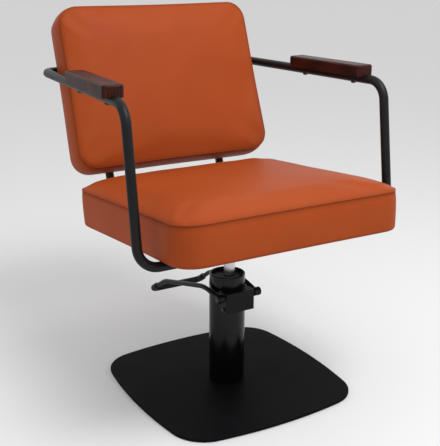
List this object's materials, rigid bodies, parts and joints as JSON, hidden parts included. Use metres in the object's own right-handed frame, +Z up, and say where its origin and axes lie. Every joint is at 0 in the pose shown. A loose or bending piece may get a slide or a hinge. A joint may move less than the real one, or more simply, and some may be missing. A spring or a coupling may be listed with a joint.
{
  "type": "hydraulic styling chair",
  "caption": "Salon chair with padded leather seat and backrest in a bent tube frame with wooden arm pads, on a hydraulic pump with a foot pedal and a square base.",
  "frame": {"origin": "centre of the base's underside on the floor, on the pump column's axis", "axes": "+Z up, the sitter faces -Y, +X across the chair to the right as seen from the front"},
  "size_m": [0.7144, 0.7658, 0.9251],
  "materials": {
    "rubber_black": "matte",
    "satin_black_steel": "satin",
    "gloss_black_steel": "gloss",
    "bright_rod": "polished",
    "plain_steel": "satin",
    "black_screw": "satin",
    "seal_rubber": "matte",
    "stained_wood": "satin",
    "plywood": "matte",
    "cognac_leather": "satin",
    "foam": "matte",
    "dust_cloth": "matte"
  },
  "bodies": {
    "root": {"anti_slip_mat": "rubber_black", "base_plate": "satin_black_steel", "foot_screws": "plain_steel", "foot_plug": "plain_steel", "valve_block": "plain_steel", "pump_tube": "gloss_black_steel", "cap_ring": "gloss_black_steel", "rod_gland": "satin_black_steel", "wiper_seal": "seal_rubber", "inner_cylinder": "plain_steel", "plunger_barrel": "plain_steel", "pump_head": "satin_black_steel", "bracket_cover": "satin_black_steel", "cover_bolts": "black_screw", "return_spring": "plain_steel"},
    "pedal": {"cross_shaft": "plain_steel", "end_bosses": "satin_black_steel", "pedal_loop": "satin_black_steel", "pedal_sleeve": "rubber_black", "pump_lever": "plain_steel"},
    "plunger": {"plunger": "plain_steel"},
    "ram": {"piston": "plain_steel", "piston_ring": "seal_rubber"},
    "chair": {"piston_rod": "bright_rod", "retaining_clip": "plain_steel", "hub_socket": "satin_black_steel", "lock_screw": "black_screw", "hub_plate": "satin_black_steel", "hub_bolts": "black_screw", "cross_bars": "satin_black_steel", "seat_screws": "black_screw", "hoop_frame": "satin_black_steel", "left_rail": "satin_black_steel", "right_rail": "satin_black_steel", "back_tabs": "satin_black_steel", "back_screws": "black_screw", "left_arm_pad": "stained_wood", "right_arm_pad": "stained_wood", "arm_screws": "black_screw", "dust_cover": "dust_cloth", "seat_board": "plywood", "seat_foam": "foam", "seat_cover": "cognac_leather", "back_panel": "cognac_leather", "back_board": "plywood", "back_foam": "foam", "back_cover": "cognac_leather"}
  },
  "joints": [
    {"name": "lift", "type": "slide", "parent": "root", "child": "ram", "axis": [0, 0, 1], "range_m": [-0.035, 0.115]},
    {"name": "swivel", "type": "hinge", "parent": "ram", "child": "chair", "pos_m": [0.006, 0, 0.08], "axis": [0, 0, 1], "continuous": true},
    {"name": "pedal_press", "type": "hinge", "parent": "root", "child": "pedal", "pos_m": [0, -0.052, 0.2515], "axis": [1, 0, 0], "range_deg": [-24, 0], "stiffness_Nm_per_rad": 14, "springref_deg": 9.17},
    {"name": "plunger_slide", "type": "slide", "parent": "root", "child": "plunger", "axis": [0, 0, 1], "range_m": [-0.01, 0], "deforming": ["return_spring"]}
  ],
  "couplings": [
    {"joint": "plunger_slide", "follows": "pedal_press", "m_per_rad": 0.021}
  ]
}
